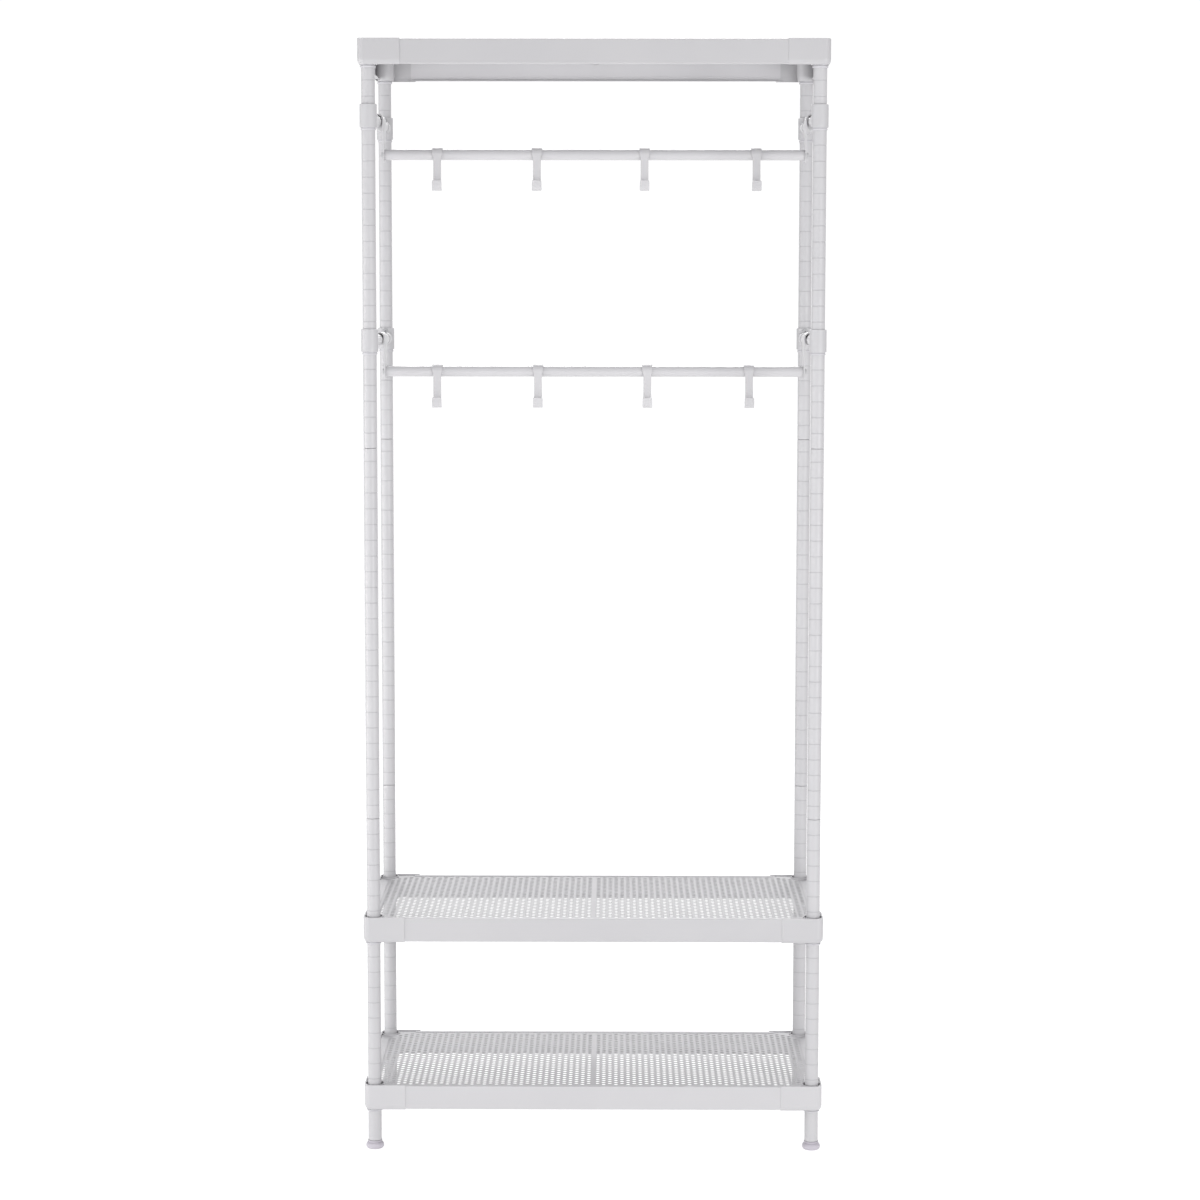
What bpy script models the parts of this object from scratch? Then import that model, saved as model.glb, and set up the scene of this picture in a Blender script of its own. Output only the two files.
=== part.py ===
# Clothes rack: four ring-grooved poles in three screwed lengths, three sheet
# steel shelves with mesh decks, and two hanger bars with sliding hooks.
# Metres, +Z up, front faces -Y.  Origin: floor level, centre of the footprint.
import bpy
import bmesh
from math import pi, cos, sin, sqrt, radians, degrees, atan2
from mathutils import Matrix, Vector

# ------------------------------------------------------------------ sizes
POLE_X = 0.3586            # pole axis, half distance across
POLE_Y = 0.1586            # pole axis, half distance front to back
POLE_R = 0.0110            # pole outside radius
POLE_WALL = 0.0012
POLE_BOTTOM = 0.0138
JOINT_1 = 0.5493           # lower / middle screwed joint
JOINT_2 = 1.1513           # middle / upper screwed joint
POLE_TOP = 1.7940
RUN = 0.0003               # clearance between neighbouring pieces

FACE = 0.0164              # pole axis to the outer face of a shelf corner
CORNER_HALF_H = 0.0205
CORNER_LEG_X = 0.0680      # corner leg along the long side
CORNER_LEG_Y = 0.0560      # corner leg along the short side
CORNER_R = 0.0110          # radius of the upright outer edge
CORNER_WALL = 0.0020
RAIL_SETBACK = 0.0013      # rail face behind the corner face
RAIL_HALF_H = 0.0194
SHEET = 0.0012
SHELF_Z = {"bottom": 0.0880, "middle": 0.3670, "top": 1.7795}

HANGER_Z = {"upper": 1.6793, "lower": 1.3237}   # collar centres
COLLAR_R = 0.0137
COLLAR_HALF_H = 0.0182
COLLAR_BORE = 0.0123
BRANCH_R = 0.0109
BRANCH_REACH = 0.0440
ROD_R = 0.0095
BAR_R = 0.0087
BAR_DROP = 0.0527          # collar centre down to the bar axis
BRACKET_W = 0.0520
BRACKET_T = 0.0025
BRACKET_IN = 0.0103        # rod axis to the bracket's upright inner face

HOOK_X = {"upper": (-0.2590, -0.0950, 0.0820, 0.2660),
          "lower": (-0.2605, -0.0935, 0.0875, 0.2560)}
HOOK_W = 0.0140
HOOK_CLIP_W = 0.0186
HOOK_T = 0.0020
HOOK_DROP = 0.0595         # bar axis down to the lowest point of the hook

FOOT_H = 0.0135
FOOT_R = 0.0146
STEM_R = 0.0040

N = 16                     # sides of a turned piece

# ------------------------------------------------------------------ scene
for ob in list(bpy.data.objects):
    bpy.data.objects.remove(ob, do_unlink=True)


def material(name, colour, roughness, metallic):
    m = bpy.data.materials.new(name)
    m.use_nodes = True
    b = m.node_tree.nodes["Principled BSDF"]
    b.inputs["Base Color"].default_value = (*colour, 1.0)
    b.inputs["Roughness"].default_value = roughness
    b.inputs["Metallic"].default_value = metallic
    m.diffuse_color = (*colour, 1.0)
    return m


COAT = (0.690, 0.690, 0.705)
PLASTIC = (0.700, 0.695, 0.720)
FOOTC = (0.640, 0.610, 0.680)


def link(name, mesh, kind, location=(0, 0, 0), rotation=(0, 0, 0), parent=None):
    ob = bpy.data.objects.new(name, mesh)
    bpy.context.scene.collection.objects.link(ob)
    if kind == "coat":
        mat = material(name + "_coat", COAT, 0.42, 0.0)
    elif kind == "plastic":
        mat = material(name + "_plastic", PLASTIC, 0.45, 0.0)
    else:
        mat = material(name + "_plastic", FOOTC, 0.50, 0.0)
    mesh.materials.clear()
    mesh.materials.append(mat)
    ob.location = location
    ob.rotation_euler = rotation
    if parent is not None:
        ob.parent = parent
    return ob


def shade(mesh, angle=35.0):
    mesh.shade_smooth()
    mesh.set_sharp_from_angle(angle=radians(angle))


def to_mesh(bm, name, smooth=True):
    bmesh.ops.recalc_face_normals(bm, faces=bm.faces[:])
    me = bpy.data.meshes.new(name)
    bm.to_mesh(me)
    bm.free()
    if smooth:
        shade(me)
    return me


# ------------------------------------------------------------ basic shapes
def turned(bm, profile, sides=N, matrix=None):
    """Spin a profile of (radius, height) points about Z into a closed body.
    A profile whose ends lie on the axis is solid, any other is a closed ring."""
    solid = profile[0][0] == 0.0 and profile[-1][0] == 0.0
    verts = [bm.verts.new((r, 0.0, z)) for r, z in profile]
    edges = [bm.edges.new((verts[i], verts[i + 1])) for i in range(len(verts) - 1)]
    if not solid:
        edges.append(bm.edges.new((verts[-1], verts[0])))
    res = bmesh.ops.spin(bm, geom=edges, cent=(0, 0, 0), axis=(0, 0, 1),
                         angle=2 * pi, steps=sides, use_merge=True,
                         use_duplicate=False)
    seen = set(verts)
    stack = list(verts)
    while stack:
        v = stack.pop()
        for e in v.link_edges:
            o = e.other_vert(v)
            if o not in seen:
                seen.add(o)
                stack.append(o)
    own = list(seen)
    bmesh.ops.remove_doubles(bm, verts=own, dist=1e-6)
    own = [v for v in own if v.is_valid]
    if matrix is not None:
        bmesh.ops.transform(bm, matrix=matrix, verts=own)
    return own


def prism(bm, outline, depth, matrix=None):
    """Extrude a flat outline in XY by depth along +Z."""
    face = bm.faces.new([bm.verts.new((x, y, 0.0)) for x, y in outline])
    res = bmesh.ops.extrude_face_region(bm, geom=[face])
    top = [g for g in res["geom"] if isinstance(g, bmesh.types.BMVert)]
    bmesh.ops.translate(bm, vec=(0, 0, depth), verts=top)
    own = list(face.verts) + top
    if matrix is not None:
        bmesh.ops.transform(bm, matrix=matrix, verts=own)
    return own


def loft(bm, rings):
    """Close a stack of equal-length rings, capped at both ends."""
    rows = [[bm.verts.new(p) for p in ring] for ring in rings]
    n = len(rows[0])
    for a, b in zip(rows, rows[1:]):
        for i in range(n):
            j = (i + 1) % n
            bm.faces.new((a[i], a[j], b[j], b[i]))
    bm.faces.new(list(reversed(rows[0])))
    bm.faces.new(rows[-1])
    return [v for row in rows for v in row]


def carve(base, tools, name):
    """Apply a chain of exact booleans: tools is a list of (operation, mesh)."""
    ob = bpy.data.objects.new(name + "_blank", base)
    bpy.context.scene.collection.objects.link(ob)
    cutters = []
    for i, (op, me) in enumerate(tools):
        c = bpy.data.objects.new(name + "_tool_%d" % i, me)
        bpy.context.scene.collection.objects.link(c)
        c.hide_render = True
        c.display_type = "WIRE"
        mod = ob.modifiers.new("cut_%d" % i, "BOOLEAN")
        mod.operation = op
        mod.solver = "EXACT"
        mod.object = c
        cutters.append(c)
    bpy.context.view_layer.update()
    dg = bpy.context.evaluated_depsgraph_get()
    me = bpy.data.meshes.new_from_object(ob.evaluated_get(dg))
    me.name = name
    for c in cutters + [ob]:
        bpy.data.objects.remove(c, do_unlink=True)
    shade(me)
    return me


def at(x, y, z):
    return Matrix.Translation((x, y, z))


TURN_X = Matrix.Rotation(radians(90), 4, "Y")     # +Z -> +X
TURN_Y = Matrix.Rotation(radians(-90), 4, "X")    # +Z -> +Y
MX = Matrix.Scale(-1, 4, (1, 0, 0))
MY = Matrix.Scale(-1, 4, (0, 1, 0))
POLES = {"front_left": (-POLE_X, -POLE_Y), "front_right": (POLE_X, -POLE_Y),
         "rear_left": (-POLE_X, POLE_Y), "rear_right": (POLE_X, POLE_Y)}


def mirrored(mesh, x, y):
    """Copy of a front-left template for the pole at x, y (mirrored to suit)."""
    me = mesh.copy()
    m = Matrix.Identity(4)
    if x > 0:
        m = MX @ m
    if y > 0:
        m = MY @ m
    me.transform(m)
    if (x > 0) != (y > 0):
        me.flip_normals()
    return me


rack = bpy.data.objects.new("rack", None)
bpy.context.scene.collection.objects.link(rack)

# ------------------------------------------------------------------ poles
# Every length is a tube with an end plug pressed in: threaded sockets at the
# upper ends and at the foot, a threaded stud at the lower end of the middle
# and upper lengths.  The very top is closed.
inner = POLE_R - POLE_WALL
SOCKET = STEM_R + 0.0004
PLUG_L = 0.0200
STUD_L = 0.0170


def socket_end(h):
    return [(POLE_R, h), (SOCKET, h), (SOCKET, h - PLUG_L), (inner, h - PLUG_L)]


def stud_start():
    return [(inner, 0.012), (0.0016, 0.012), (0.0016, -STUD_L),
            (STEM_R - 0.0006, -STUD_L), (STEM_R, -STUD_L + 0.0008),
            (STEM_R, 0.0), (POLE_R, 0.0)]


for key, (x, y) in POLES.items():
    for part, z0, z1 in (("lower", POLE_BOTTOM, JOINT_1 - RUN / 2),
                         ("middle", JOINT_1 + RUN / 2, JOINT_2 - RUN / 2),
                         ("upper", JOINT_2 + RUN / 2, POLE_TOP)):
        h = z1 - z0
        if part == "lower":
            profile = [(inner, PLUG_L), (SOCKET, PLUG_L), (SOCKET, 0),
                       (POLE_R, 0)] + socket_end(h)
        elif part == "middle":
            profile = stud_start() + socket_end(h)
        else:
            profile = [(0, h - 0.0030)] + [(inner, h - 0.0030)] + stud_start() \
                + [(POLE_R, h - 0.0010), (POLE_R - 0.0010, h), (0, h)]
        bm = bmesh.new()
        turned(bm, profile)
        link("pole_%s_%s" % (key, part), to_mesh(bm, "pole"), "coat",
             (x, y, z0), parent=rack)

# ------------------------------------------------------------------- feet
# flared glide with its threaded stem; origin on the stem axis at floor level
for key, (x, y) in POLES.items():
    bm = bmesh.new()
    turned(bm, [(0, 0), (0.0128, 0), (FOOT_R, 0.0030), (FOOT_R, 0.0072),
                (0.0132, 0.0108), (0.0120, FOOT_H), (STEM_R, FOOT_H),
                (STEM_R, 0.0440), (0, 0.0440)])
    link("foot_" + key, to_mesh(bm, "foot"), "foot", (x, y, 0.0), parent=rack)


# ---------------------------------------------------------------- shelves
def arc(cx, cy, r, a0, a1, steps):
    return [(cx + r * cos(radians(a0 + (a1 - a0) * i / steps)),
             cy + r * sin(radians(a0 + (a1 - a0) * i / steps)))
            for i in range(steps + 1)]


def corner_outline(tuck):
    """Front-left corner seen from above, pole axis at 0,0: two outer walls and
    the ring round the pole.  tuck draws it inwards, for the lower edge."""
    f = FACE - tuck
    w = FACE - CORNER_WALL - 0.6 * tuck
    ring = 0.0160 - 0.5 * tuck
    ex = -FACE + CORNER_LEG_X
    ey = -FACE + CORNER_LEG_Y
    c = sqrt(ring * ring - w * w)
    pts = [(ex, -f)]
    pts += arc(-f + CORNER_R, -f + CORNER_R, CORNER_R, -90, -180, 4)
    pts += [(-f, ey), (-w, ey)]
    pts += arc(0, 0, ring, degrees(atan2(c, -w)), degrees(atan2(-w, c)), 9)
    pts += [(ex, -w)]
    return pts


TUCK = 0.0022
levels = [(-CORNER_HALF_H, TUCK), (-CORNER_HALF_H + 0.0070, 0.0),
          (CORNER_HALF_H, 0.0)]
bm = bmesh.new()
loft(bm, [[(x, y, z) for x, y in corner_outline(t)] for z, t in levels])
blank = to_mesh(bm, "corner_blank")
bm = bmesh.new()
turned(bm, [(0, -0.030), (0.0129, -0.030), (0.0129, -0.002), (0.0143, 0.006),
            (0.0143, 0.030), (0, 0.030)])
tool = to_mesh(bm, "corner_bore")
corner = carve(blank, [("DIFFERENCE", tool)], "shelf_corner")

rail_y = POLE_Y + FACE - RAIL_SETBACK      # outer faces of the rails
rail_x = POLE_X + FACE - RAIL_SETBACK
LIP = 0.0090
SIDE_FLANGE = 0.0162
OVERRUN = 0.0080                           # rail let into the corner leg
long_len = 2 * (POLE_X + FACE - CORNER_LEG_X + OVERRUN)
side_len = 2 * (POLE_Y + FACE - CORNER_LEG_Y + OVERRUN)


def rail(name, flange, length, columns, loc):
    """C section: web at u=0, flange and lip towards +u, v is height."""
    t, h = SHEET, RAIL_HALF_H
    section = [(0, -h), (LIP, -h), (LIP, -h + t), (t, -h + t), (t, h - t),
               (flange, h - t), (flange, h), (0, h)]
    bm = bmesh.new()
    m = Matrix([list(r) + [0] for r in columns] + [[0, 0, 0, 1]])
    prism(bm, section, length, at(*loc) @ m)
    return to_mesh(bm, name, smooth=False)


# rows give where the section's u, v and length axes point
rails = [
    rail("front", LIP, long_len, ((0, 0, 1), (1, 0, 0), (0, 1, 0)),
         (-long_len / 2, -rail_y, 0)),
    rail("rear", LIP, long_len, ((0, 0, -1), (-1, 0, 0), (0, 1, 0)),
         (long_len / 2, rail_y, 0)),
    rail("left", SIDE_FLANGE, side_len, ((1, 0, 0), (0, 0, -1), (0, 1, 0)),
         (-rail_x, side_len / 2, 0)),
    rail("right", SIDE_FLANGE, side_len, ((-1, 0, 0), (0, 0, 1), (0, 1, 0)),
         (rail_x, -side_len / 2, 0))]

DECK_TOP = RAIL_HALF_H - SHEET - RUN
# channel stiffener under the deck, welded between the long rails
rib_len = 2 * (rail_y - SHEET + 0.0006)
t = SHEET
hat = [(-0.0055, 0), (-0.0055, -0.0080), (0.0055, -0.0080), (0.0055, 0),
       (0.0055 - t, 0), (0.0055 - t, -0.0080 + t), (-0.0055 + t, -0.0080 + t),
       (-0.0055 + t, 0)]
bm = bmesh.new()
prism(bm, hat, rib_len, at(0, rib_len / 2, DECK_TOP - SHEET - RUN)
      @ Matrix(((1, 0, 0, 0), (0, 0, -1, 0), (0, 1, 0, 0), (0, 0, 0, 1))))
rib = to_mesh(bm, "rib", smooth=False)

four = []
for x, y in POLES.values():
    me = mirrored(corner, x, y)
    me.transform(at(x, y, 0))
    four.append(me)
frame = carve(four[0], [("UNION", me) for me in four[1:] + rails + [rib]],
              "shelf_frame")


def deck_outline():
    """Deck plate, notched round the four corner rings."""
    half_x = rail_x - SHEET - RUN
    half_y = rail_y - SHEET - RUN
    r = 0.0168
    e = half_x - POLE_X
    q = sqrt(r * r - e * e)
    start = degrees(atan2(-q, e))
    sweep = -(360 - (degrees(atan2(e, -q)) - start))
    pts = []
    for k, (sx, sy) in enumerate(((1, 1), (-1, 1), (-1, -1), (1, -1))):
        a = start + 90 * k
        pts += arc(sx * POLE_X, sy * POLE_Y, r, a, a + sweep, 6)
    return pts


# tapered sleeve round the pole: body inside the collar, skirt showing below
SLEEVE_IN = POLE_R + RUN


def sleeve_mesh(body_r, half_h, name):
    bm = bmesh.new()
    turned(bm, [(SLEEVE_IN, -half_h - 0.0047), (0.0118, -half_h - 0.0047),
                (body_r + 0.0002, -half_h - 0.0006),
                (body_r - 0.0006, half_h - 0.0100),
                (SLEEVE_IN, half_h - 0.0100)])
    return to_mesh(bm, name)


for name, zc in SHELF_Z.items():
    shelf = bpy.data.objects.new(name + "_shelf", None)
    bpy.context.scene.collection.objects.link(shelf)
    shelf.location = (0, 0, zc)
    shelf.parent = rack
    pre = name + "_shelf_"
    link(pre + "frame", frame.copy(), "coat", parent=shelf)
    bm = bmesh.new()
    prism(bm, deck_outline(), SHEET)
    link(pre + "mesh_deck", to_mesh(bm, pre + "deck", smooth=False), "coat",
         (0, 0, DECK_TOP - SHEET), parent=shelf)
    for key, (x, y) in POLES.items():
        link(pre + "sleeve_" + key,
             sleeve_mesh(0.0126, CORNER_HALF_H, "shelf_sleeve"), "plastic",
             (x, y, 0), parent=shelf)

# ---------------------------------------------------------------- hangers
# Side arm: a collar on the front and rear pole with a tube between them, in
# one welded piece.  Template axis at x=0, z=0.
COLLAR = [(0, -COLLAR_HALF_H), (COLLAR_R, -COLLAR_HALF_H),
          (COLLAR_R, COLLAR_HALF_H), (0, COLLAR_HALF_H)]


def body_of(name, profile, sides=N, matrix=None):
    bm = bmesh.new()
    turned(bm, profile, sides, matrix)
    return to_mesh(bm, name)


def cylinder(r, a, b):
    return [(0, a), (r, a), (r, b), (0, b)]


tools = [("UNION", body_of("rear_collar", COLLAR, N, at(0, POLE_Y, 0))),
         ("UNION", body_of("tube", cylinder(ROD_R, -POLE_Y, POLE_Y), N, TURN_Y))]
for s in (-1, 1):
    boss = cylinder(BRANCH_R, POLE_Y - BRANCH_REACH, POLE_Y - 0.004)
    tools.append(("UNION", body_of("boss", boss, N,
                  TURN_Y if s > 0 else MY @ TURN_Y)))
for s in (-1, 1):
    tools.append(("DIFFERENCE", body_of("bore", cylinder(COLLAR_BORE, -0.03, 0.03),
                  N, at(0, s * POLE_Y, 0))))
tools.append(("DIFFERENCE", body_of("hollow", cylinder(
    ROD_R - SHEET, -POLE_Y + 0.002, POLE_Y - 0.002), N, TURN_Y)))
arm = carve(body_of("front_collar", COLLAR, N, at(0, -POLE_Y, 0)), tools, "side_arm")


# Bar bracket, template at the left arm: strap hooked over the tube, then down
# its inner side to the bar end, with a round spigot that fills the bar.
def bracket_section():
    r = ROD_R + RUN
    t = BRACKET_T
    a = BRACKET_IN
    cx, cz, cr = a - 0.0035, r - 0.0029, 0.0035
    band = [(-r, -0.0040)] + arc(0, 0, r, 180, 100, 6) + arc(cx, cz, cr, 85, 0, 4)
    band += [(a, -BAR_DROP - 0.0135), (a + t, -BAR_DROP - 0.0135)]
    band += arc(cx, cz, cr + t, 0, 85, 4) + arc(0, 0, r + t, 100, 180, 6)
    return band + [(-r - t, -0.0040)]


bm = bmesh.new()
prism(bm, bracket_section(), BRACKET_W,
      Matrix(((1, 0, 0, 0), (0, 0, -1, BRACKET_W / 2), (0, 1, 0, 0), (0, 0, 0, 1))))
strap = to_mesh(bm, "bracket_strap")
half = BRACKET_W / 2
tip = 0.0125
shape = [(half + 0.001, 0.030), (-half - 0.001, 0.030), (-half - 0.001, -0.016)]
shape += arc(0, -BAR_DROP, tip, 195, 345, 8)
shape += [(half + 0.001, -0.016)]
bm = bmesh.new()
prism(bm, shape, 0.06, at(-0.03, 0, 0) @ Matrix(((0, 0, 1, 0), (1, 0, 0, 0),
                                                 (0, 1, 0, 0), (0, 0, 0, 1))))
mask = to_mesh(bm, "bracket_mask")
bar_in = BAR_R - SHEET
spigot = body_of("spigot", cylinder(bar_in - RUN, BRACKET_IN + 0.001,
                 BRACKET_IN + BRACKET_T + 0.018), N,
                 at(0, 0, -BAR_DROP) @ TURN_X)
bracket = carve(strap, [("INTERSECT", mask), ("UNION", spigot)], "bar_bracket")

bar_half = POLE_X - BRACKET_IN - BRACKET_T - RUN
for level, zc in HANGER_Z.items():
    pre = level + "_hanger_"
    hanger = bpy.data.objects.new(level + "_hanger", None)
    bpy.context.scene.collection.objects.link(hanger)
    hanger.location = (0, 0, zc)
    hanger.parent = rack
    for side, x in (("left", -POLE_X), ("right", POLE_X)):
        link(pre + side + "_arm", arm.copy(), "coat", (x, 0, 0), parent=hanger)
        link(pre + side + "_bracket", mirrored(bracket, x, -1), "coat",
             (x, 0, 0), parent=hanger)
    link(pre + "bar", body_of("bar", [(bar_in, -bar_half), (BAR_R, -bar_half),
         (BAR_R, bar_half), (bar_in, bar_half)], N, TURN_X), "coat",
         (0, 0, -BAR_DROP), parent=hanger)
    for key, (x, y) in POLES.items():
        link(pre + "sleeve_" + key,
             sleeve_mesh(0.0120, COLLAR_HALF_H, "hanger_sleeve"), "plastic",
             (x, y, 0), parent=hanger)

# ------------------------------------------------------------------ hooks
# Strip bent over the bar, straight down in front of it and up again in a J.
# Origin on the bar axis, where the hook slides.
def hook_path():
    """Centre line in Y and Z with the half width at each point."""
    rc = BAR_R + 0.0005 + HOOK_T / 2
    wide, slim = HOOK_CLIP_W / 2, HOOK_W / 2
    pts = [(rc * cos(radians(a)), rc * sin(radians(a)), wide)
           for a in (-32, -12, 10, 32, 54, 76, 98, 120, 142, 162)]
    pts.append((-rc, 0.0, wide))
    pts.append((-rc, -0.0035, slim))
    rj = 0.0075
    low = -HOOK_DROP + HOOK_T / 2 + rj
    pts.append((-rc, low, slim))
    pts += [(-rc - rj + rj * cos(radians(a)), low - rj * sin(radians(a)), slim)
            for a in (30, 60, 90, 120, 150)]
    pts.append((-rc - 2 * rj - 0.0003, low + 0.002, slim))
    pts.append((-rc - 2 * rj - 0.0012, low + 0.0085, slim))
    return pts


def strip(path, thick):
    """Sweep a flat strip along a path in the YZ plane, width along X."""
    bm = bmesh.new()
    rings = []
    n = len(path)
    for i, (y, z, w) in enumerate(path):
        p = Vector(path[max(i - 1, 0)][:2])
        q = Vector(path[min(i + 1, n - 1)][:2])
        d = (q - p).normalized()
        side = Vector((-d.y, d.x)) * (thick / 2)
        rings.append([(-w, y - side.x, z - side.y), (w, y - side.x, z - side.y),
                      (w, y + side.x, z + side.y), (-w, y + side.x, z + side.y)])
    loft(bm, rings)
    return to_mesh(bm, "hook")


hook = strip(hook_path(), HOOK_T)
for level, zc in HANGER_Z.items():
    for i, x in enumerate(HOOK_X[level]):
        link("%s_hook_%d" % (level, i + 1), hook.copy(), "coat",
             (x, 0, zc - BAR_DROP), parent=rack)
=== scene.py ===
from math import pi, sin, cos, tan, sqrt, radians, degrees, atan2
import bpy
import bmesh
from mathutils import Matrix, Vector


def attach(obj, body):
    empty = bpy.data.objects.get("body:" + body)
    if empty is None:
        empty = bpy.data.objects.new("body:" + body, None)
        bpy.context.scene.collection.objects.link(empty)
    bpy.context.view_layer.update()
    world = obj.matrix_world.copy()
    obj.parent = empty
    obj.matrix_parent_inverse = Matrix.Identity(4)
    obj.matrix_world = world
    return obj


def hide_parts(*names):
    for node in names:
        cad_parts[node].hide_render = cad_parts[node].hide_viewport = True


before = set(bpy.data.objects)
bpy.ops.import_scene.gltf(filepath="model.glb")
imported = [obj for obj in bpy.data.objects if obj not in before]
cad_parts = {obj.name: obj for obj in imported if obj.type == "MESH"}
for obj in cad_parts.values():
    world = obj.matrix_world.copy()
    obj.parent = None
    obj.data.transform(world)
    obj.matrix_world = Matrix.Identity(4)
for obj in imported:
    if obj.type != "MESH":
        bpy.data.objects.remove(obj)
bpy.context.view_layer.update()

# ------------------------------------------------------------------ sizes, m
PX, PY = 0.3586, 0.1586
POLES = {"front_left": (-PX, -PY), "front_right": (PX, -PY),
         "rear_left": (-PX, PY), "rear_right": (PX, PY)}
POLE_R = 0.0110
POLE_Z = (("lower", 0.0138, 0.54915), ("middle", 0.54945, 1.15115),
          ("upper", 1.15145, 1.7940))
PITCH = 0.0254
GROOVES = {"lower": [0.0923 + PITCH * n for n in range(18)],
           "middle": [0.5717 + PITCH * n for n in range(23)],
           "upper": [1.1761 + PITCH * n for n in range(25)]}
SHELF_Z = {"bottom": 0.0880, "middle": 0.3670, "top": 1.7795}
FACE = 0.0164
CORNER_H = 0.0205
LEG_X, LEG_Y = 0.0680, 0.0560
RAIL_H = 0.0194
SETBACK = 0.0013
RAIL_Y = PY + FACE - SETBACK
RAIL_X = PX + FACE - SETBACK
SHEET = 0.0012
HANGER_Z = {"upper": 1.6793, "lower": 1.3237}
COLLAR_R, COLLAR_H, COLLAR_BORE = 0.0137, 0.0182, 0.0123
BRANCH_R, REACH, ROD_R = 0.0109, 0.0440, 0.0095
BAR_R, DROP = 0.0087, 0.0527
BRACKET_IN, BRACKET_T = 0.0103, 0.0025
HOOK_X = {"upper": (-0.2590, -0.0950, 0.0820, 0.2660),
          "lower": (-0.2605, -0.0935, 0.0875, 0.2560)}


# ---------------------------------------------------------------- materials
def shader(name):
    m = bpy.data.materials.new(name)
    m.use_nodes = True
    nt = m.node_tree
    nt.nodes.clear()
    out = nt.nodes.new("ShaderNodeOutputMaterial")
    b = nt.nodes.new("ShaderNodeBsdfPrincipled")
    nt.links.new(b.outputs[0], out.inputs[0])
    co = nt.nodes.new("ShaderNodeTexCoord")
    return m, nt, b, co.outputs["Object"]


def noise(nt, vec, scale, detail=2.0, rough=0.5, stretch=None):
    if stretch:
        mp = nt.nodes.new("ShaderNodeMapping")
        mp.inputs["Scale"].default_value = stretch
        nt.links.new(vec, mp.inputs["Vector"])
        vec = mp.outputs[0]
    n = nt.nodes.new("ShaderNodeTexNoise")
    n.inputs["Scale"].default_value = scale
    n.inputs["Detail"].default_value = detail
    n.inputs["Roughness"].default_value = rough
    nt.links.new(vec, n.inputs["Vector"])
    return n.outputs["Fac"]


def span(nt, fac, lo, hi, a=0.3, b=0.7):
    r = nt.nodes.new("ShaderNodeMapRange")
    r.inputs["From Min"].default_value = a
    r.inputs["From Max"].default_value = b
    r.inputs["To Min"].default_value = lo
    r.inputs["To Max"].default_value = hi
    nt.links.new(fac, r.inputs["Value"])
    return r.outputs["Result"]


def blend(nt, fac, c0, c1):
    mx = nt.nodes.new("ShaderNodeMix")
    mx.data_type = "RGBA"
    for sock, v in ((mx.inputs[6], c0), (mx.inputs[7], c1)):
        if isinstance(v, tuple):
            sock.default_value = (*v, 1.0)
        else:
            nt.links.new(v, sock)
    if isinstance(fac, float):
        mx.inputs[0].default_value = fac
    else:
        nt.links.new(fac, mx.inputs[0])
    return mx.outputs[2]


def bump(nt, b, heights):
    """Stack of bumps: (height, strength, distance in metres)."""
    last = None
    for h, strength, dist in heights:
        n = nt.nodes.new("ShaderNodeBump")
        n.inputs["Strength"].default_value = strength
        n.inputs["Distance"].default_value = dist
        nt.links.new(h, n.inputs["Height"])
        if last is not None:
            nt.links.new(last, n.inputs["Normal"])
        last = n.outputs[0]
    nt.links.new(last, b.inputs["Normal"])


def powder(name, light, dark, grain=1.0, rough=(0.36, 0.48)):
    """Semi-matt powder coat: orange peel, fine grain, faint cloudy shade."""
    m, nt, b, co = shader(name)
    cloud = noise(nt, co, 7.0, 3.0)
    speck = noise(nt, co, 620.0, 2.0, 0.6)
    c = blend(nt, span(nt, cloud, 0.0, 1.0, 0.35, 0.65), dark, light)
    c = blend(nt, span(nt, speck, 0.0, 0.10, 0.62, 0.78), c,
              tuple(v * 0.86 for v in dark))
    nt.links.new(c, b.inputs["Base Color"])
    nt.links.new(span(nt, noise(nt, co, 55.0, 3.0), *rough), b.inputs["Roughness"])
    bump(nt, b, [(noise(nt, co, 420.0, 1.0, 0.4), 0.05 * grain, 0.00012),
                 (noise(nt, co, 1500.0, 2.0, 0.6), 0.14 * grain, 0.00005)])
    b.inputs["Metallic"].default_value = 0.0
    b.inputs["Specular IOR Level"].default_value = 0.42
    b.inputs["Coat Weight"].default_value = 0.06
    b.inputs["Coat Roughness"].default_value = 0.30
    return m


def plastic(name, light, dark, rough, spec=0.45):
    m, nt, b, co = shader(name)
    flow = noise(nt, co, 60.0, 3.0, 0.5, (1.0, 1.0, 0.35))
    nt.links.new(blend(nt, span(nt, flow, 0.0, 1.0, 0.35, 0.68), dark, light),
                 b.inputs["Base Color"])
    nt.links.new(span(nt, noise(nt, co, 140.0, 3.0), *rough), b.inputs["Roughness"])
    bump(nt, b, [(noise(nt, co, 900.0, 2.0, 0.55), 0.12, 0.00008),
                 (flow, 0.08, 0.00020)])
    b.inputs["Specular IOR Level"].default_value = spec
    b.inputs["Subsurface Weight"].default_value = 0.0
    return m


LIGHT, DARK = (0.411, 0.406, 0.417), (0.400, 0.395, 0.407)


def tone(c, k):
    return tuple(round(v * k, 4) for v in c)


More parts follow.
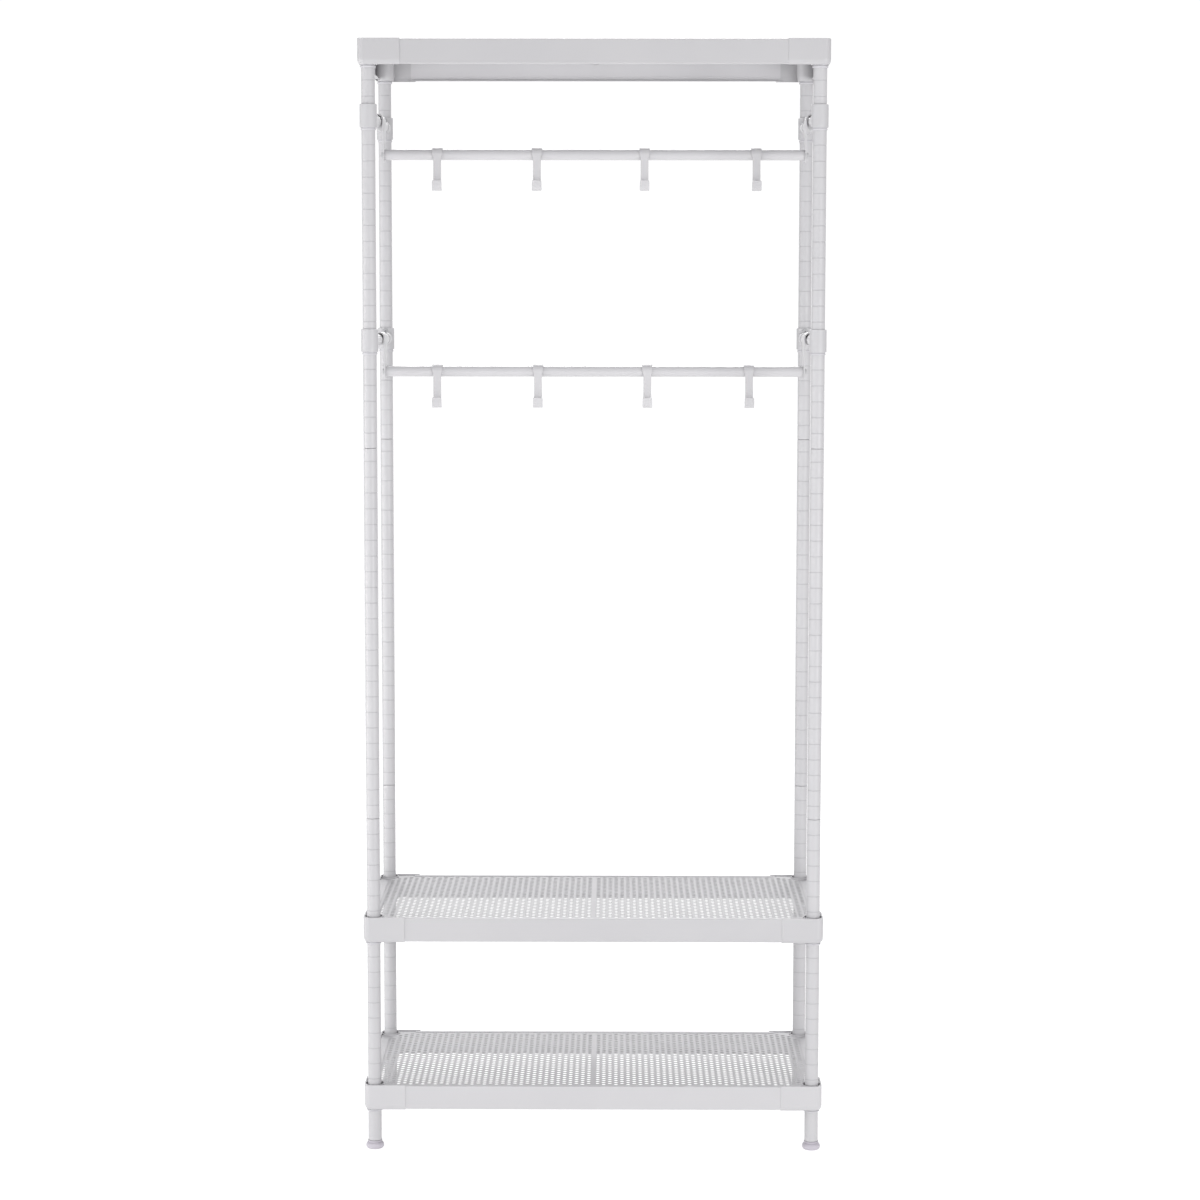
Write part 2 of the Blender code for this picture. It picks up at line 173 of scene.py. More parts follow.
M_POLE = powder("pole_powder_coat", LIGHT, DARK, 0.8)
# each shelf's coat is toned per level, lighter at the bottom and darker at the top: painted light and
# shade, not a colour change
M_SHELF_PAINTED_LIGHT = {n: powder(n + "_shelf_powder_coat", tone(LIGHT, k), tone(DARK, k), 1.0)
           for n, k in (("bottom", 1.04), ("middle", 0.975), ("top", 0.945))}
# rail inside faces are toned lighter than the outside: painted light on faces that lie in shade under
# the deck
M_INNER_PAINTED_LIGHT = {n: powder(n + "_rail_inside_painted_light", tone(LIGHT, k), tone(DARK, k), 1.0)
           for n, k in (("bottom", 1.15), ("middle", 1.2), ("top", 1.13))}
# deck coat is toned per level: painted light and shade for how brightly each deck is lit
M_DECK_PAINTED_LIGHT = {n: powder(n + "_mesh_coat_painted_light", tone(LIGHT, k), tone(DARK, k), 1.2,
                    (0.56, 0.68))
          for n, k in (("bottom", 1.03), ("middle", 0.93), ("top", 1.02))}
M_FIT = powder("fitting_powder_coat", (0.405, 0.401, 0.411), (0.390, 0.386, 0.398), 1.1)
# darker coat for the faces inside the pole grooves: painted shade in the recesses
M_GROOVE_SHADE = powder("groove_painted_shade", (0.352, 0.348, 0.360), (0.334, 0.330, 0.341), 0.8)
# bar coat is toned lighter than the poles' same white coat: painted light
M_BAR_PAINTED_LIGHT = powder("bar_coat_painted_light", tone(LIGHT, 1.08), tone(DARK, 1.08), 0.7, (0.32, 0.44))
# hook coat is toned lighter than the poles' same white coat: painted light
M_HOOK_PAINTED_LIGHT = powder("hook_coat_painted_light", tone(LIGHT, 1.07), tone(DARK, 1.07), 1.0, (0.52, 0.64))
M_SLEEVE = plastic("sleeve_plastic", (0.431, 0.425, 0.446), (0.413, 0.407, 0.427), (0.38, 0.50))
M_CAP = plastic("end_cap_plastic", (0.409, 0.406, 0.417), (0.390, 0.387, 0.399), (0.40, 0.52))
M_FOOT = plastic("foot_plastic", (0.405, 0.383, 0.422), (0.379, 0.357, 0.398), (0.42, 0.56))
M_SCREW = powder("screw_coat", (0.390, 0.390, 0.398), (0.338, 0.338, 0.349), 1.4)


# ------------------------------------------------------------------- shapes
def rounded(pts, closed=True, seg=3):
    """Polygon points (u, v) or (u, v, radius) with those corners rounded."""
    out = []
    n = len(pts)
    for i, p in enumerate(pts):
        rad = p[2] if len(p) > 2 else 0.0
        if rad <= 0 or (not closed and i in (0, n - 1)):
            out.append((p[0], p[1]))
            continue
        a, b, c = Vector(pts[i - 1][:2]), Vector(p[:2]), Vector(pts[(i + 1) % n][:2])
        u, w = (a - b).normalized(), (c - b).normalized()
        half = u.angle(w) / 2
        d = min(rad / tan(half), (a - b).length * 0.49, (c - b).length * 0.49)
        r = d * tan(half)
        mid = b + (u + w).normalized() * (r / sin(half))
        p0, p1 = b + u * d - mid, b + w * d - mid
        a0 = atan2(p0.y, p0.x)
        da = (atan2(p1.y, p1.x) - a0 + pi) % (2 * pi) - pi
        for k in range(seg + 1):
            t = a0 + da * k / seg
            out.append((mid.x + r * cos(t), mid.y + r * sin(t)))
    return out


def arc(cx, cy, r, a0, a1, steps):
    return [(cx + r * cos(radians(a0 + (a1 - a0) * i / steps)),
             cy + r * sin(radians(a0 + (a1 - a0) * i / steps)))
            for i in range(steps + 1)]


def bridge(bm, rings, closed_loop=False):
    """Quads between rings of equal length; a ring of one vertex is a tip."""
    pairs = list(zip(rings, rings[1:]))
    if closed_loop:
        pairs.append((rings[-1], rings[0]))
    for a, b in pairs:
        n = max(len(a), len(b))
        if n == 1:
            continue
        for i in range(n):
            j = (i + 1) % n
            if len(a) == 1:
                bm.faces.new((a[0], b[j], b[i]))
            elif len(b) == 1:
                bm.faces.new((a[i], a[j], b[0]))
            else:
                bm.faces.new((a[i], a[j], b[j], b[i]))


def lathe(bm, prof, sides=48, m=None, phase=0.0):
    """Spin (radius, height) about Z; open ends must lie on the axis."""
    rings = []
    for r, z in prof:
        if r < 1e-9:
            rings.append([bm.verts.new((0, 0, z))])
        else:
            rings.append([bm.verts.new((r * cos(phase + 2 * pi * i / sides),
                                        r * sin(phase + 2 * pi * i / sides), z))
                          for i in range(sides)])
    bridge(bm, rings, closed_loop=prof[0][0] > 1e-9)
    vs = [v for r in rings for v in r]
    if m is not None:
        bmesh.ops.transform(bm, matrix=m, verts=vs)
    return vs


def part_lathe(bm, prof, a0, a1, sides, m=None):
    """Closed profile turned through part of a circle, both cut ends capped."""
    cols = []
    for i in range(sides + 1):
        t = radians(a0 + (a1 - a0) * i / sides)
        cols.append([bm.verts.new((r * cos(t), r * sin(t), z)) for r, z in prof])
    bridge(bm, cols)
    bm.faces.new(list(reversed(cols[0])))
    bm.faces.new(cols[-1])
    vs = [v for c in cols for v in c]
    if m is not None:
        bmesh.ops.transform(bm, matrix=m, verts=vs)
    return vs


def prism(bm, outline, length, m=None, cuts=1):
    rings = [[bm.verts.new((x, y, length * k / cuts)) for x, y in outline]
             for k in range(cuts + 1)]
    bridge(bm, rings)
    bm.faces.new(list(reversed(rings[0])))
    bm.faces.new(rings[-1])
    vs = [v for r in rings for v in r]
    if m is not None:
        bmesh.ops.transform(bm, matrix=m, verts=vs)
    return vs


def at(x, y, z):
    return Matrix.Translation((x, y, z))


TURN_X = Matrix.Rotation(radians(90), 4, "Y")
TURN_Y = Matrix.Rotation(radians(-90), 4, "X")


def basis(u, v, w, loc):
    """Matrix whose local X, Y, Z axes point along u, v, w."""
    return Matrix(((u[0], v[0], w[0], loc[0]), (u[1], v[1], w[1], loc[1]),
                   (u[2], v[2], w[2], loc[2]), (0, 0, 0, 1)))


def piece(name, bm, mat, body, nodes=(), angle=32.0, bevel=0.0, seg=2):
    bmesh.ops.recalc_face_normals(bm, faces=bm.faces[:])
    me = bpy.data.meshes.new(name)
    bm.to_mesh(me)
    bm.free()
    return place(name, me, mat, body, nodes, angle, bevel, seg)


def place(name, me, mat, body, nodes=(), angle=32.0, bevel=0.0, seg=2):
    ob = bpy.data.objects.new(name, me)
    bpy.context.scene.collection.objects.link(ob)
    me.materials.append(mat)
    me.shade_smooth()
    me.set_sharp_from_angle(angle=radians(angle))
    if bevel > 0:
        mod = ob.modifiers.new("soft_edges", "BEVEL")
        mod.width = bevel
        mod.segments = seg
        mod.limit_method = "ANGLE"
        mod.angle_limit = radians(angle)
        mod.harden_normals = True
    mod = ob.modifiers.new("flat_faces", "WEIGHTED_NORMAL")
    mod.mode = "FACE_AREA"
    mod.weight = 100
    mod.keep_sharp = True
    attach(ob, body)
    if nodes:
        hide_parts(*nodes)
    return ob


# -------------------------------------------------------------------- poles
def groove(z):
    """Rolled ring groove: soft shoulders and a narrow flat bottom."""
    r = POLE_R
    return [(r, z - 0.00110), (r, z - 0.00095), (r - 0.00006, z - 0.00072), (r - 0.00030, z - 0.00048),
            (r - 0.00030, z + 0.00048), (r - 0.00006, z + 0.00072), (r, z + 0.00095),
            (r, z + 0.00110)]


for key, (x, y) in POLES.items():
    for part, z0, z1 in POLE_Z:
        prof = [(0.0, z0 + 0.012), (0.0044, z0 + 0.012), (0.0044, z0),
                (POLE_R - 0.0006, z0), (POLE_R, z0 + 0.0006)]
        if part != "lower":
            prof = [(0.0, z0), (POLE_R - 0.0006, z0), (POLE_R, z0 + 0.0007)]
        for z in GROOVES[part]:
            prof += groove(z)
        if part == "upper":
            prof += [(POLE_R, z1 - 0.0022), (POLE_R - 0.0004, z1 - 0.0018),
                     (0.0, z1 - 0.0018)]
        else:
            prof += [(POLE_R, z1 - 0.0007), (POLE_R - 0.0006, z1), (0.0, z1)]
        bm = bmesh.new()
        lathe(bm, prof, 40, at(x, y, 0))
        node = "pole_%s_%s" % (key, part)
        # faces inside a groove take the darker second material: painted shade in the groove
        for f in bm.faces:
            f.normal_update()
            c = f.calc_center_median()
            if abs(f.normal.z) < 0.99 and sqrt((c.x - x) ** 2 + (c.y - y) ** 2) < POLE_R - 0.00014:
                if any(abs(c.z - z) < 0.0011 for z in GROOVES[part]):
                    f.material_index = 1
        ob = piece(node + "_tube", bm, M_POLE, "rack", [node], angle=50)
        ob.data.materials.append(M_GROOVE_SHADE)
    # plug in the top of the pole
    bm = bmesh.new()
    lathe(bm, [(0.0, 1.7900), (0.0090, 1.7900), (0.0090, 1.7920),
               (0.0106, 1.7922), (0.0107, 1.7928), (0.0100, 1.7936),
               (0.0060, 1.7939), (0.0, 1.7940)], 40, at(x, y, 0))
    piece("pole_%s_plug" % key, bm, M_CAP, "rack")

# --------------------------------------------------------------------- feet
for key, (x, y) in POLES.items():
    bm = bmesh.new()
    lathe(bm, [(0, 0), (0.0122, 0), (0.0130, 0.0006), (0.0143, 0.0026),
               (0.0146, 0.0034), (0.0146, 0.0066), (0.0142, 0.0076),
               (0.0129, 0.0092), (0.0117, 0.0100), (0.0108, 0.0103),
               (0.0106, 0.0106), (0.0106, 0.0122), (0.0108, 0.0125),
               (0.0118, 0.0127), (0.0118, 0.0133), (0.0116, 0.0135),
               (0.0040, 0.0135), (0.0040, 0.0436), (0.0034, 0.0440),
               (0, 0.0440)], 48, at(x, y, 0))
    piece("foot_%s_glide" % key, bm, M_FOOT, "foot_" + key,
          ["foot_" + key], angle=28)


# ------------------------------------------------------------------ shelves
def corner_outline(tuck, grow=0.0):
    f = FACE - tuck
    w = FACE - 0.0020 - 0.6 * tuck
    ring = 0.0160 - 0.5 * tuck
    ex, ey = -FACE + LEG_X, -FACE + LEG_Y
    c = sqrt(ring * ring - w * w)
    r = 0.0110
    pts = [(ex, -f + 0.0009), (ex - 0.0010, -f)] + arc(-f + r, -f + r, r, -90, -180, 10) + [(-f, ey - 0.0010), (-f + 0.0009, ey), (-w, ey)]
    pts += arc(0, 0, ring, degrees(atan2(c, -w)), degrees(atan2(-w, c)), 28)
    return pts + [(ex, -w)]


def corner_bore(z):
    """Radius of the tapered socket at height z."""
    if z <= -0.002:
        return 0.0129
    if z >= 0.006:
        return 0.0143
    return 0.0129 + 0.0014 * (z + 0.002) / 0.008


def corner_mesh(sx, sy):
    """Corner socket: outer shell loft with a round socket through the ring."""
    bm = bmesh.new()
    H = CORNER_H
    zs = [(-H, 0.0030), (-H + 0.0004, 0.0026), (-H + 0.0016, 0.0018),
          (-H + 0.0034, 0.0010), (-H + 0.0058, 0.0003), (-H + 0.0082, 0.0),
          (-0.002, 0.0), (0.006, 0.0), (H - 0.0005, 0.0), (H, 0.0003)]
    outer = [[bm.verts.new((x, y, z)) for x, y in corner_outline(t)] for z, t in zs]
    bridge(bm, outer)
    n = 40
    inner = []
    for z, t in zs:
        r = corner_bore(z) + (0.0003 if abs(z) > H - 1e-6 else 0.0)
        inner.append([bm.verts.new((r * cos(2 * pi * i / n), r * sin(2 * pi * i / n), z))
                      for i in range(n)])
    bridge(bm, inner)
    for o, i in ((outer[0], inner[0]), (outer[-1], inner[-1])):
        edges = []
        for loop in (o, i):
            for k in range(len(loop)):
                a, b = loop[k], loop[(k + 1) % len(loop)]
                edges.append(bm.edges.get((a, b)) or bm.edges.new((a, b)))
        bmesh.ops.triangle_fill(bm, use_beauty=True, use_dissolve=False, edges=edges)
    m = Matrix.Diagonal((-1 if sx > 0 else 1, -1 if sy > 0 else 1, 1, 1))
    bmesh.ops.transform(bm, matrix=m, verts=bm.verts[:])
    bmesh.ops.recalc_face_normals(bm, faces=bm.faces[:])
    return bm


def rail_outline(flange, lip=0.0090):
    t, h = SHEET, RAIL_H
    return rounded([(0, -h, 0.0016), (lip, -h, 0.0003), (lip, -h + t, 0.0003),
                    (t, -h + t, 0.0005), (t, h - t, 0.0005), (flange, h - t, 0.0003),
                    (flange, h, 0.0008), (0, h, 0.0016)], True, 4)


LONG = 2 * (PX + FACE - LEG_X + 0.0080)
SHORT = 2 * (PY + FACE - LEG_Y + 0.0080)
DECK_TOP = RAIL_H - SHEET - 0.0001
DECK_T = 0.0008

HOLE_R = 0.0038
STEP_X, STEP_Y = 0.0100, 0.0115
COLS = 35
ROW0, ROWS = -0.1550, 28


def deck_edge():
    """Outline of the plate, notched round the four sockets."""
    hx, hy = RAIL_X - SHEET - 0.0003, RAIL_Y - SHEET - 0.0003
    r = 0.0168
    e = hx - PX
    q = sqrt(r * r - e * e)
    start = degrees(atan2(-q, e))
    sweep = -(360 - (degrees(atan2(e, -q)) - start))
    pts = []
    for k, (sx, sy) in enumerate(((1, 1), (-1, 1), (-1, -1), (1, -1))):
        pts += arc(sx * PX, sy * PY, r, start + 90 * k, start + 90 * k + sweep, 12)
    return pts


def deck_mesh():
    """Perforated plate: one field of staggered round holes in six-sided cells
    whose corners meet, blank over the rib, and a plain margin round it."""
    bm = bmesh.new()
    a = (STEP_X ** 2 + (STEP_Y / 2) ** 2) / 2
    hx1 = (a - (STEP_Y / 2) ** 2) / STEP_X
    hx2 = a / STEP_X
    hexa = [(hx2, 0), (hx1, STEP_Y / 2), (-hx1, STEP_Y / 2), (-hx2, 0),
            (-hx1, -STEP_Y / 2), (hx1, -STEP_Y / 2)]
    top = {}

    def vert(x, y):
        k = (round(x * 1e6), round(y * 1e6))
        if k not in top:
            top[k] = bm.verts.new((x, y, 0.0))
        return top[k]

    sides = 12
    for c in range(-COLS, COLS + 1):
        cx = STEP_X * c
        odd = c % 2
        for j in range(ROWS - odd):
            cy = ROW0 + STEP_Y * (j + 0.5 * odd)
            if any(sqrt((PX - abs(cx + u)) ** 2 + (PY - abs(cy + v)) ** 2) < 0.0176
                   for u, v in hexa):
                continue
            H = [vert(cx + u, cy + v) for u, v in hexa]
            if c == 0:
                bm.faces.new(H)
                continue
            ring = [bm.verts.new((cx + HOLE_R * cos(2 * pi * i / sides),
                                  cy + HOLE_R * sin(2 * pi * i / sides), 0.0))
                    for i in range(sides)]
            for i in range(6):
                j2 = (i + 1) % 6
                p, q, r = ring[2 * i], ring[2 * i + 1], ring[(2 * i + 2) % sides]
                bm.faces.new((H[i], H[j2], q))
                bm.faces.new((H[i], q, p))
                bm.faces.new((H[j2], r, q))
    # the blank column is squeezed to a narrow strip over the rib
    for v in bm.verts:
        x = abs(v.co.x)
        if x < 0.300:
            x = 0.44 * x if x < 0.005 else x - 0.0028 * (0.300 - x) / 0.295
            v.co.x = x if v.co.x > 0 else -x
    bmesh.ops.recalc_face_normals(bm, faces=bm.faces[:])
    # rim of the field, then the plain margin round it
    corners = set(top.values())
    rim = []
    for e in bm.edges:
        if len(e.link_faces) == 1:
            a, b = e.verts
            if a in corners and b in corners:
                rim.append(e)
    outline = [bm.verts.new((x, y, 0.0)) for x, y in deck_edge()]
    border = [bm.edges.new((outline[i], outline[(i + 1) % len(outline)]))
              for i in range(len(outline))]
    bmesh.ops.triangle_fill(bm, use_beauty=True, use_dissolve=False, edges=rim + border)
    # all faces up, then thickness downwards
    for f in bm.faces:
        f.normal_update()
        if f.normal.z < 0:
            f.normal_flip()
    res = bmesh.ops.extrude_face_region(bm, geom=bm.faces[:], use_keep_orig=True)
    low = [g for g in res["geom"] if isinstance(g, bmesh.types.BMVert)]
    bmesh.ops.translate(bm, vec=(0, 0, -DECK_T), verts=low)
    bmesh.ops.recalc_face_normals(bm, faces=bm.faces[:])
    return bm


deck_bm = deck_mesh()
deck_me = bpy.data.meshes.new("mesh_deck")
deck_bm.to_mesh(deck_me)
deck_bm.free()


# split tapered sleeve: two half shells with a hairline gap at the sides
def sleeve(name, x, y, zc, half_h, body_r, node):
    i = 0.0113
    rim = body_r + 0.0001
    prof = rounded([(i, -half_h - 0.0047, 0.0003), (0.0118, -half_h - 0.0047, 0.0002),
                    (rim, -half_h - 0.0034, 0.0005), (rim, -half_h - 0.0019, 0.0003),
                    (0.0116, -half_h - 0.0017, 0.0002), (0.0116, -half_h + 0.0004),
                    (body_r, -half_h + 0.0014), (body_r - 0.0006, half_h - 0.0100, 0.0003),
                    (i, half_h - 0.0100, 0.0003)], True, 2)
    bm = bmesh.new()
    for a in (0, 180):
        part_lathe(bm, prof, a + 1.6, a + 178.4, 20, at(x, y, zc))
    piece(name, bm, M_SLEEVE, "rack", [node], angle=40)


for name, zc in SHELF_Z.items():
    pre = name + "_shelf_"
    fr = [pre + "frame"]
    for key, (x, y) in POLES.items():
        bm = corner_mesh(x, y)
        bmesh.ops.transform(bm, matrix=at(x, y, zc), verts=bm.verts[:])
        piece(pre + "socket_" + key, bm, M_SHELF_PAINTED_LIGHT[name], "rack", fr, angle=35)
        sleeve(pre + "wedge_" + key, x, y, zc, CORNER_H, 0.0128, pre + "sleeve_" + key)
    for side, flange, length, m in (
            ("front", 0.0090, LONG, basis((0, 1, 0), (0, 0, 1), (1, 0, 0), (-LONG / 2, -RAIL_Y, zc))),
            ("rear", 0.0090, LONG, basis((0, -1, 0), (0, 0, 1), (-1, 0, 0), (LONG / 2, RAIL_Y, zc))),
            ("left", 0.0162, SHORT, basis((1, 0, 0), (0, 0, 1), (0, -1, 0), (-RAIL_X, SHORT / 2, zc))),
            ("right", 0.0162, SHORT, basis((-1, 0, 0), (0, 0, 1), (0, 1, 0), (RAIL_X, -SHORT / 2, zc)))):
        bm = bmesh.new()
        prism(bm, rail_outline(flange), length, m, 6)
        bmesh.ops.recalc_face_normals(bm, faces=bm.faces[:])
        # inner faces and the lip top take the lighter second material: painted light where they lie in
        # shade
        inward = m.to_3x3() @ Vector((1, 0, 0))
        for f in bm.faces:
            f.normal_update()
            c = m.inverted() @ f.calc_center_median()
            if abs(c.y) < RAIL_H - SHEET and c.x < 0.0020 and f.normal.dot(inward) > 0.5:
                f.material_index = 1
            if c.y < SHEET * 1.1 - RAIL_H and f.normal.z > 0.5:
                f.material_index = 1
        ob = piece(pre + "rail_" + side, bm, M_SHELF_PAINTED_LIGHT[name], "rack", fr, angle=40)
        ob.data.materials.append(M_INNER_PAINTED_LIGHT[name])
    # channel rib under the mesh
    ly = RAIL_Y - SHEET + 0.0004
    top = zc + DECK_TOP - SHEET - 0.0003
    w, d, t = 0.0045, 0.0080, SHEET
    hat = rounded([(-w, 0, 0.0003), (-w, -d, 0.0014), (w, -d, 0.0014), (w, 0, 0.0003),
                   (w - t, 0, 0.0003), (w - t, -d + t, 0.0004),
                   (-w + t, -d + t, 0.0004), (-w + t, 0, 0.0003)], True, 3)
    bm = bmesh.new()
    prism(bm, hat, 2 * ly, basis((1, 0, 0), (0, 0, 1), (0, -1, 0), (0, ly, top)), 4)
    piece(pre + "rib", bm, M_SHELF_PAINTED_LIGHT[name], "rack", fr, angle=40)
    me = deck_me.copy()
    me.transform(at(0, 0, zc + DECK_TOP))
    place(pre + "perforated_deck", me, M_DECK_PAINTED_LIGHT[name], "rack",
          [pre + "mesh_deck"], angle=30)

# ------------------------------------------------------------------ hangers
def side_arm(x, zc, s):
    """Two T collars on the poles and the tube between them."""
    bm = bmesh.new()
    H, R, B = COLLAR_H, COLLAR_R, COLLAR_BORE
    for sy in (-1, 1):
        prof = rounded([(B, -H, 0.0004), (R, -H, 0.0009), (R, H, 0.0009), (B, H, 0.0004),
                        (B - 0.0002, 0.0)], True, 3)
        prof = [p for p in prof if p[0] >= B - 0.00025]
        lathe(bm, prof, 56, at(x, sy * PY, zc))
    n = 48
    b = BRANCH_R
    tip = PY - REACH

    def saddle(r, radius, off):
        ring = []
        for i in range(n):
            t = 2 * pi * i / n
            u, v = r * cos(t), r * sin(t)
            ring.append((u, PY - sqrt(radius * radius - u * u) - off, v))
        return ring

    def flat(r, y):
        return [(r * cos(2 * pi * i / n), y, r * sin(2 * pi * i / n)) for i in range(n)]

    half = [saddle(b + 0.0011, R - 0.0006, 0), saddle(b + 0.0011, R, 0.0),
            saddle(b + 0.0005, R, 0.0005), saddle(b + 0.0001, R, 0.0012),
            saddle(b, R, 0.0022), flat(b, tip + 0.0012), flat(b - 0.0003, tip + 0.0004),
            flat(b - 0.0008, tip), flat(ROD_R + 0.0004, tip), flat(ROD_R, tip - 0.0004)]
    rings = [[(u, y, v) for u, y, v in ring] for ring in half]
    rings += [[(u, -y, v) for u, y, v in ring] for ring in reversed(half)]
    rows = [[bm.verts.new((x + u, y, zc + v)) for u, y, v in ring] for ring in rings]
    bridge(bm, rows)
    for row in (rows[0], rows[-1]):
        c = bm.verts.new((x, row[0].co.y, zc))
        for i in range(n):
            bm.faces.new((row[i], row[(i + 1) % n], c))
    return bm


def strip(bm, path, thick, widthwise, rim=0.0004, m=None):
    """Sweep a flat strip with rounded edges along a path in a plane.  A path
    point is (a, b, half width); widthwise is the axis across the strip."""
    n = len(path)
    rows = []
    for i, (a, b, w) in enumerate(path):
        p = Vector(path[max(i - 1, 0)][:2])
        q = Vector(path[min(i + 1, n - 1)][:2])
        d = (q - p).normalized()
        nx, ny = -d.y, d.x
        t = thick / 2
        k = min(rim, t * 0.9, w * 0.5)
        sec = rounded([(-w, -t, k), (w, -t, k), (w, t, k), (-w, t, k)], True, 2)
        row = []
        for u, v in sec:
            if widthwise == "X":
                row.append(bm.verts.new((u, a + nx * v, b + ny * v)))
            else:
                row.append(bm.verts.new((a + nx * v, u, b + ny * v)))
        rows.append(row)
    bridge(bm, rows)
    bm.faces.new(list(reversed(rows[0])))
    bm.faces.new(rows[-1])
    vs = [v for r in rows for v in r]
    if m is not None:
        bmesh.ops.transform(bm, matrix=m, verts=vs)
    return vs


def bracket_path():
    """Centre line of the strap in X and Z for the left arm, with half widths."""
    r = ROD_R + 0.0003 + BRACKET_T / 2
    a = BRACKET_IN + BRACKET_T / 2
    cr = 0.0065 + BRACKET_T / 2
    cx, cz = BRACKET_IN - 0.0065, ROD_R + 0.0003 - 0.0062
    line = [(-r, -0.0040)] + arc(0, 0, r, 180, 100, 12) + arc(cx, cz, cr, 82, 0, 8)
    line += [(a, z) for z in (0.0010, -0.0040, -0.0090, -0.0140)]
    tip_r = 0.0125
    z_t = -DROP + tip_r * sin(radians(15))
    w_t = tip_r * cos(radians(15))
    out = [(x, z, 0.0260) for x, z in line]
    for k in range(1, 9):
        f = k / 8
        out.append((a, -0.0160 + (z_t + 0.0160) * f, 0.0260 + (w_t - 0.0260) * f))
    for k in range(1, 12):
        t = radians(15 - (15 + 84) * k / 11)
        out.append((a, -DROP + tip_r * sin(t), max(tip_r * cos(t), 0.0015)))
    return out


def screw_head(bm, r, h, recess, m):
    """Pan head with a round recess; outwards is +Z."""
    lathe(bm, [(0, 0.0), (r, 0.0), (r, h * 0.30), (r * 0.97, h * 0.52),
               (r * 0.86, h * 0.78), (r * 0.66, h * 0.95), (recess * 1.25, h),
               (recess * 1.15, h * 0.98)] +
          [(recess, h * 0.92), (recess * 0.98, h * 0.35), (0, h * 0.30)], 36, m)


for level, zc in HANGER_Z.items():
    pre = level + "_hanger_"
    for side, x in (("left", -PX), ("right", PX)):
        s = -1 if x < 0 else 1
        bm = side_arm(x, zc, s)
        piece(pre + side + "_arm_tube", bm, M_FIT, "rack",
              [pre + side + "_arm"], angle=38)
        # bracket: template for the left side, mirrored for the right
        bm = bmesh.new()
        strip(bm, bracket_path(), BRACKET_T, "Y", 0.0007)
        m = at(x, 0, zc) @ (Matrix.Diagonal((-1, 1, 1, 1)) if s > 0 else Matrix.Identity(4))
        bmesh.ops.transform(bm, matrix=m, verts=bm.verts[:])
        piece(pre + side + "_strap", bm, M_FIT, "rack",
              [pre + side + "_bracket"], angle=38)
        # bolt through the strap into the bar end
        bm = bmesh.new()
        face = x - s * BRACKET_IN
        m = basis((0, 1, 0), (0, 0, s), (s, 0, 0), (face, 0, zc - DROP))
        lathe(bm, [(0, -0.0002), (0.0062, -0.0002), (0.0064, 0.0001),
                   (0.0064, 0.0008), (0.0061, 0.0010), (0, 0.0010)], 36, m)
        screw_head(bm, 0.0046, 0.0028, 0.0019, m @ at(0, 0, 0.0009))
        piece(pre + side + "_bolt", bm, M_SCREW, "rack", angle=30)
        # collar screws, on the side of each collar that faces the tube
        for yname, sy in (("front", -1), ("rear", 1)):
            bm = bmesh.new()
            m = basis((1, 0, 0), (0, 0, -sy), (0, -sy, 0),
                      (x, sy * (PY - COLLAR_R + 0.0008), zc + 0.0126))
            lathe(bm, [(0, -0.0004), (0.0050, -0.0004), (0.0050, 0.0012),
                       (0.0047, 0.0015), (0, 0.0015)], 36, m)
            screw_head(bm, 0.0040, 0.0024, 0.0014, m @ at(0, 0, 0.0013))
            piece("%s%s_screw_%s" % (pre, side, yname), bm, M_SCREW, "rack",
                  angle=30)
    half = PX - BRACKET_IN - BRACKET_T + 0.0002
    bm = bmesh.new()
    lathe(bm, rounded([(BAR_R - SHEET, -half), (BAR_R, -half, 0.0003),
                       (BAR_R, half, 0.0003), (BAR_R - SHEET, half)], True, 2),
          48, at(0, 0, zc - DROP) @ TURN_X)
    piece(pre + "bar_tube", bm, M_BAR_PAINTED_LIGHT, "rack", [pre + "bar"], angle=40)
    for key, (x, y) in POLES.items():
        sleeve(pre + "wedge_" + key, x, y, zc, COLLAR_H, 0.0121, pre + "sleeve_" + key)


# -------------------------------------------------------------------- hooks
def hook_path():
    rc = BAR_R + 0.0005 + 0.0010
    wide, slim, tipw = 0.0085, 0.0065, 0.0079
    pts = [(rc * cos(radians(a)), rc * sin(radians(a)), wide)
           for a in range(-32, 165, 8)]
    pts += [(-rc, 0.0018, wide), (-rc, 0.0, wide - 0.0003), (-rc, -0.0018, slim + 0.0010),
            (-rc, -0.0032, slim + 0.0002), (-rc, -0.0050, slim)]
    rj = 0.0075
    low = -0.0595 + 0.0010 + rj
    pts += [(-rc, -0.020, slim), (-rc, low + 0.006, slim), (-rc, low, slim + 0.0001)]
    for a in range(12, 169, 12):
        f = a / 168
        pts.append((-rc - rj + rj * cos(radians(a)), low - rj * sin(radians(a)),
                    slim + (tipw - slim) * min(1, 1.6 * f)))
    pts += [(-rc - 2 * rj - 0.0002, low + 0.0015, tipw),
            (-rc - 2 * rj - 0.0007, low + 0.0050, tipw),
            (-rc - 2 * rj - 0.0010, low + 0.0074, tipw - 0.0003),
            (-rc - 2 * rj - 0.0012, low + 0.0083, tipw - 0.0013)]
    return pts


for level, zc in HANGER_Z.items():
    for i, x in enumerate(HOOK_X[level]):
        bm = bmesh.new()
        strip(bm, hook_path(), 0.0020, "X", 0.0006, at(x, 0, zc - DROP))
        node = "%s_hook_%d" % (level, i + 1)
        piece(node + "_strap", bm, M_HOOK_PAINTED_LIGHT, node, [node], angle=38)

